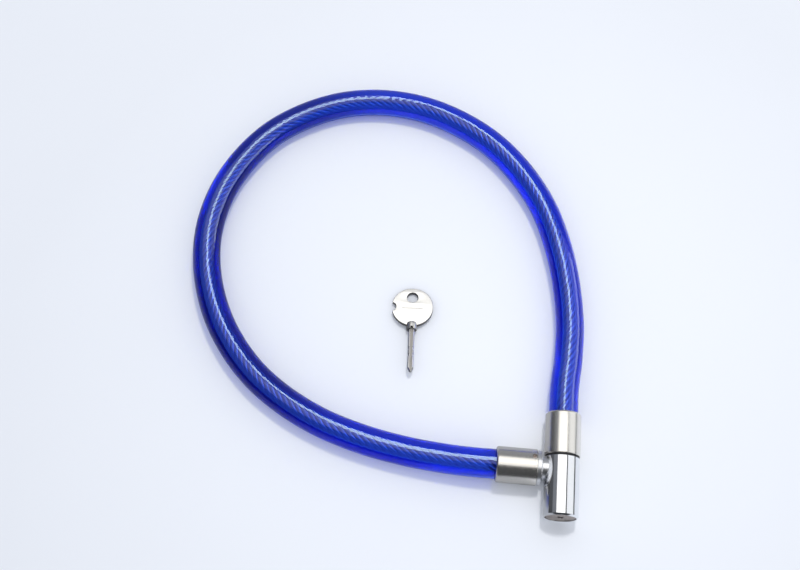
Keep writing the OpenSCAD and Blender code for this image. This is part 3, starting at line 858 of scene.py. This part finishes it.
def socketFillet(chrome, sides=128, steps=6):  # a small hollow ring that follows the barrel's round side
    size, inner = neck["fillet"], neck["radius"] - neck["filletOverlap"]
    quarter = [math.pi / 2 * step / steps for step in range(steps + 1)]
    section = [(inner + size * (1 - math.cos(turn)), size * (1 - math.sin(turn))) for turn in quarter]
    section += [(neck["radius"] + size, -neck["filletSunk"]), (inner, -neck["filletSunk"])]  # its back
    shape = bmesh.new()
    rings = []
    for angle in roundTurns(sides):
        ring = []
        for reach, lift in section:
            y, z = reach * math.cos(angle), reach * math.sin(angle)
            skin = math.sqrt(barrelRadius ** 2 - z * z)
            ring.append(shape.verts.new((lock["x"] - skin - lift, lock["boltY"] + y, lock["z"] + z)))
        rings.append(ring)
    joinRings(shape, rings, closed=True)
    return objectFrom("socketFillet", meshFrom("socketFillet", shape, 40), chrome)


bolt = {"shank": 4 * mm, "groove": 2.5 * mm, "grooveFrom": -6.35 * mm, "grooveTo": -3.48 * mm,
        "tipCone": 1.8 * mm, "flangeThick": 2.4 * mm, "spigot": 8.2 * mm, "footRound": 0.3 * mm,
        "flangeRound": (0.25 * mm, 0.45 * mm), "grooveRound": (0.2 * mm, 0.3 * mm),
        "tipRound": (0.4 * mm, 0.5 * mm)}


def makeBolt(chrome):
    start, tip = reachOf("bolt")
    flangeFrom = reachOf("free_ferrule")[1]
    flangeTo, flange = flangeFrom + bolt["flangeThick"], radiusOf("bolt", "y")
    shank, groove, cone = bolt["shank"], bolt["groove"], bolt["tipCone"]
    fromX, toX = bolt["grooveFrom"], bolt["grooveTo"]
    lip, root = bolt["grooveRound"]
    outline = roundCorners([
        (0, start), (bolt["spigot"], start), (bolt["spigot"], flangeFrom),
        (flange, flangeFrom, bolt["flangeRound"][0]), (flange, flangeTo, bolt["flangeRound"][1]),
        (shank, flangeTo, bolt["footRound"]), (shank, fromX, lip), (groove, fromX, root),
        (groove, toX, root), (shank, toX, lip), (shank, tip - cone, bolt["tipRound"][0]),
        (shank - cone, tip, bolt["tipRound"][1]), (0, tip)])
    piece = lathe("lockBolt", outline, alongBolt, chrome, sides=96)
    dress(piece, "free_end", "chrome", "bolt")


makeFixedFerrule()
makeFreeFerrule()
makeSealRing()
makeBarrel()
turnedChrome = polishedChrome("turnedChrome", 0.26, 0.36)
makeSocket(turnedChrome)
makeBolt(turnedChrome)
print("barrel, ferrules and bolt are turned")


# the lock cylinder's face

def crossOf(quarter):  # the corners of one arm, four times round, with the arms on the diagonals
    return [Matrix.Rotation(math.pi / 2 * (turn + 0.5), 2) @ Vector(corner)
            for turn in range(4) for corner in quarter]


def keywayDrill(material):
    reach, half = cylinder["keyway"] / 2, cylinder["keywayArm"] / 2
    outline = crossOf([(reach, -half), (reach, half), (half, half)])
    shape = bmesh.new()
    for height in (-proud, cylinder["keywayDeep"]):
        shape.faces.new([shape.verts.new(alongLock @ Vector((*corner, height))) for corner in outline])
    bmesh.ops.bridge_loops(shape, edges=shape.edges[:])
    return objectFrom("drill", meshFrom("drill", shape), material)


def makeCylinder():
    near, far = runOf("cylinder_housing")
    radius = radiusOf("cylinder_housing")
    metal = turnedMetal("nickelSilver", (0.16, 0.135, 0.12), (0.56, 0.48, 0.43), radius)
    rim, gap, thick = cylinder["coreRim"], cylinder["gap"], cylinder["rimThick"]
    body, inner, tail = cylinder["body"], cylinder["core"], cylinder["tail"]
    headEnd, tailEnd, soft = near + cylinder["head"], far + cylinder["tailLong"], cylinder["rimRound"]
    outline = roundCorners([
        (rim + gap, near, soft), (radius, near, cylinder["headRound"]), (radius, headEnd),
        (body, headEnd), (body, far), (inner + gap, far), (inner + gap, near + thick + gap),
        (rim + gap, near + thick + gap)])
    housing = lathe("cylinderHousing", outline, alongLock, metal)
    dress(housing, "lock", "nickel_silver", "cylinder_housing")
    outline = roundCorners([
        (0, near), (rim, near, soft), (rim, near + thick), (inner, near + thick), (inner, far), (tail, far),
        (tail, tailEnd), (0, tailEnd)])
    core = lathe("keyCore", outline, alongLock, metal)
    cutOut(core, keywayDrill(metal))
    dress(core, "turning_core", "nickel_silver", "core")


makeCylinder()
print("lock cylinder is fitted")


# the key

ringHole = next(m for m in frame["record"]["mounts"] if m["name"] == "key_ring_hole")

key = {
    "bow": 12 * mm, "thick": 2.6 * mm, "rim": 0.35 * mm,
    "ringHole": ringHole["dims"]["r_mm"] * mm, "ringHoleAt": 6 * mm,
    "notch": 2.6 * mm, "notchGap": 1.1, "notchTurn": (1.35, -1.25),  # a share of its radius, and radians
    "panel": (12 * mm, 4 * mm), "panelAt": -4.8 * mm, "panelDeep": 0.25 * mm,
    "collar": 3.1 * mm, "collarFrom": 10.3 * mm, "collarTo": 14.5 * mm, "collarSunk": 0.6 * mm,
    "collarRound": (1.1 * mm, 0.5 * mm, 0.1 * mm), "collarBore": 2.04 * mm, "collarDeep": 1.5 * mm,
    "stop": 1.5 * mm, "stopFloor": 1.2 * mm,
    "reach": 40.5 * mm, "blade": 2 * mm, "arm": 1.1 * mm, "armRound": 0.15 * mm,
    "tip": 2.2 * mm, "tipEnd": 0.45 * mm, "bites": (26.5 * mm, 30.5 * mm),
    "bite": 0.35 * mm, "biteHalf": 0.75 * mm, "biteSlope": 0.2 * mm,
}


def keyPlace():  # x across the bow, y to its far edge, z out of its upper face, from the bow's middle
    axis = Vector(ringHole["axis"])
    lean = Matrix.Rotation(-math.atan2(math.hypot(axis.x, axis.y), axis.z), 4, "X")
    turn = Matrix.Rotation(math.atan2(-axis.x, axis.y), 4, "Z") @ lean
    return Matrix.Translation(ringHole["pos_m"]) @ turn @ Matrix.Translation((0, -key["ringHoleAt"], 0))


def bowOutline(sides=96, notchSides=14):  # the round edge, with a rounded notch at -X
    centre = Vector((-key["bow"], 0))
    edge = [onCircle(key["bow"], angle) for angle in roundTurns(sides, math.pi)]
    edge = [corner for corner in edge if (corner - centre).length > key["notch"] * key["notchGap"]]
    dip = [centre + onCircle(key["notch"], angle) for angle in np.linspace(*key["notchTurn"], notchSides)]
    return edge + dip


def flatPlate(name, outline, hole, thick, rim, place, material):  # a stamped plate with soft edges
    flat = bpy.data.curves.new(name, "CURVE")
    flat.dimensions = "2D"
    flat.fill_mode = "BOTH"
    flat.extrude = thick / 2 - rim
    flat.bevel_depth = rim
    flat.bevel_resolution = 3
    flat.offset = -rim
    for loop in (outline, hole):
        spline = flat.splines.new("POLY")
        spline.points.add(len(loop) - 1)
        spline.use_cyclic_u = True
        for point, corner in zip(spline.points, loop):
            point.co = (corner[0], corner[1], 0, 1)
    piece = bpy.data.objects.new(name, flat)
    scene.collection.objects.link(piece)
    mesh = finishedMesh(piece)
    bpy.data.objects.remove(piece)
    mesh.transform(place)
    shape = bmesh.new()
    shape.from_mesh(mesh)
    bmesh.ops.remove_doubles(shape, verts=shape.verts, dist=1e-6)
    return objectFrom(name, meshFrom(name, shape, 35), material)


def block(name, low, high, place, material):
    shape = bmesh.new()
    bmesh.ops.create_cube(shape, size=1)
    size = Vector(high) - Vector(low)
    middle = (Vector(high) + Vector(low)) / 2
    bmesh.ops.transform(shape, verts=shape.verts,
                        matrix=place @ Matrix.Translation(middle) @ Matrix.Diagonal((*size, 1)))
    return objectFrom(name, meshFrom(name, shape), material)


def tarnish(piece, side=0.0):  # painted shade: more on the faces that don't face up, and with side on those towards -X
    amount = piece.data.attributes.new("tarnish", "FLOAT", "FACE")
    amount.data.foreach_set("value", [
        min(1, (1 - abs(face.normal.z)) * (1 - side * face.normal.x)) for face in piece.data.polygons])


def makeBow(nickel):
    place = keyPlace()
    middle = Vector((0, key["ringHoleAt"]))
    hole = [middle + onCircle(key["ringHole"], angle) for angle in roundTurns(48)]
    bow = flatPlate("keyBow", bowOutline(), hole, key["thick"], key["rim"], place, nickel)
    wide, tall = key["panel"]
    top = key["thick"] / 2
    cutOut(bow, block("drill", (-wide / 2, key["panelAt"], top - key["panelDeep"]),
                      (wide / 2, key["panelAt"] + tall, top + proud), place, nickel))
    tarnish(bow)
    linked["bow"].objects.link(bow)
    dress(bow, "key", "key_nickel", "key_bow")


def makeCollar(nickel):  # between bow and blade, with the notch of a stop in its far end
    place = keyPlace()
    near, far, radius = key["collarFrom"] - key["collarSunk"], key["collarTo"], key["collar"]
    bore, floor = key["collarBore"], far - key["collarDeep"]
    first, second, third = key["collarRound"]
    outline = roundCorners([
        (0, near), (radius, near, first), (radius, far, second), (bore, far, third), (bore, floor),
        (0, floor)])
    collar = lathe("keyCollar", outline, place @ Matrix.Rotation(math.pi / 2, 4, "X"), nickel, sides=64)
    half = key["stop"] / 2
    cutOut(collar, block("drill", (-half, -far - proud, key["stopFloor"]),
                         (half, -far + key["stop"], radius + proud), place, nickel))
    tarnish(collar, 1.0)
    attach(collar, "key")


def bladeSteps():  # how far its arms reach, at distances from the bow's middle
    full, half = key["blade"], key["biteHalf"]
    slope = half + key["biteSlope"]
    steps = [(key["collarTo"] - key["collarDeep"], full), (key["collarTo"], full)]
    for middle in key["bites"]:
        for away, lower in ((-slope, 0), (-half, key["bite"]), (half, key["bite"]), (slope, 0)):
            steps.append((middle + away, full - lower))
    for share in (0, 0.35, 0.7, 1):
        steps.append((key["reach"] - key["tip"] * (1 - share), full + (key["tipEnd"] - full) * share))
    return steps


def makeBlade(nickel):
    place = keyPlace() @ Matrix.Rotation(math.pi / 2, 4, "X")
    half, soft = key["arm"] / 2, key["armRound"]
    shape = bmesh.new()
    rings = []
    for run, reach in bladeSteps():
        arm = ((reach - soft, -half), (reach, soft - half), (reach, half - soft), (reach - soft, half))
        quarter = [*((max(x, half), y) for x, y in arm), (half, half)]
        rings.append([shape.verts.new(place @ Vector((*corner, run))) for corner in crossOf(quarter)])
    joinRings(shape, rings)
    blade = objectFrom("keyBlade", meshFrom("keyBlade", shape, 30), nickel)
    tarnish(blade, 1.0)
    dress(blade, "key", "key_nickel", "key_blade")


nickel = keyNickel("keyNickel")
makeBow(nickel)
makeCollar(nickel)
makeBlade(nickel)
print("key is cut")


# what stays hidden in the lock

def finishInside():
    steel = plainSteel("insideSteel")
    brass = turnedMetal("insideBrass", (0.36, 0.25, 0.12), (0.60, 0.46, 0.26))
    inside = {
        "fixed_crimp_sleeve": steel, "free_crimp_sleeve": steel, "housing_pin": steel, "pin_cover": steel,
        "pin_springs": steel, "core_clip": steel, "latch_cam": steel,
        "driver_pins": brass, "key_pins": brass}
    for node, material in inside.items():
        coat(frame["nodes"][node].data, material)


finishInside()
print("inside pieces are finished")


# the table

tabletop = {
    "side": 4.0,
    "colour": (0.945, 0.96, 0.99),
    "mottle": 0.015,
    "fadeFrom": (0.02, 0.01),
    "fade": 0.42,  # painted fall-off of light: how much darker it gets per metre from there
    "fadeMost": 0.125,
    "dimmed": 0.45,  # painted dark reflection: how much darker metal and plastic see it on the left
    "dimForMetal": 60,  # how fast that comes per metre, from the lock
    "dimForPlastic": 25,
    "dimForPlasticFrom": -0.075,
}


def paleTable(name):
    finish = Finish(name)
    mottle = finish.noise(finish.place(), 12, 3) * tabletop["mottle"]
    x = finish.parts(finish.place())[0]
    forMetal = ((lock["x"] - x) * tabletop["dimForMetal"]).clamped()
    forPlastic = ((tabletop["dimForPlasticFrom"] - x) * tabletop["dimForPlastic"]).clamped()
    # painted dark reflection: metal and plastic see the table darker on the left than it is lit
    rays = finish.add("ShaderNodeLightPath", out="Is Glossy Ray")
    through = finish.other(rays, "Is Transmission Ray")
    dimmed = rays * forMetal * (1 - through) + through * forPlastic
    fromX, fromY = tabletop["fadeFrom"]
    away = finish.vectorMath("LENGTH", {0: finish.stretched((1, 1, 0), shift=(-fromX, -fromY, 0))}, "Value")
    # painted shade: the table gets darker further from one point, standing in for where the light falls off
    fade = (away * tabletop["fade"]).math("MINIMUM", tabletop["fadeMost"])
    darkness = mottle + fade + dimmed * tabletop["dimmed"]
    finish.set(
        baseColor=finish.between(darkness, tabletop["colour"], (0, 0, 0)),
        roughness=0.6,
        specularIORLevel=0.0)
    return finish.material


def layTable():
    half = tabletop["side"] / 2
    corners = [(-half, -half, 0), (half, -half, 0), (half, half, 0), (-half, half, 0)]
    mesh = bpy.data.meshes.new("table")
    mesh.from_pydata(corners, [], [(0, 1, 2, 3)])
    objectFrom("table", mesh, paleTable("paleTable"))


layTable()
print("table is laid")


def plain(box):
    return [[round(value, 6) for value in corner] for corner in box]
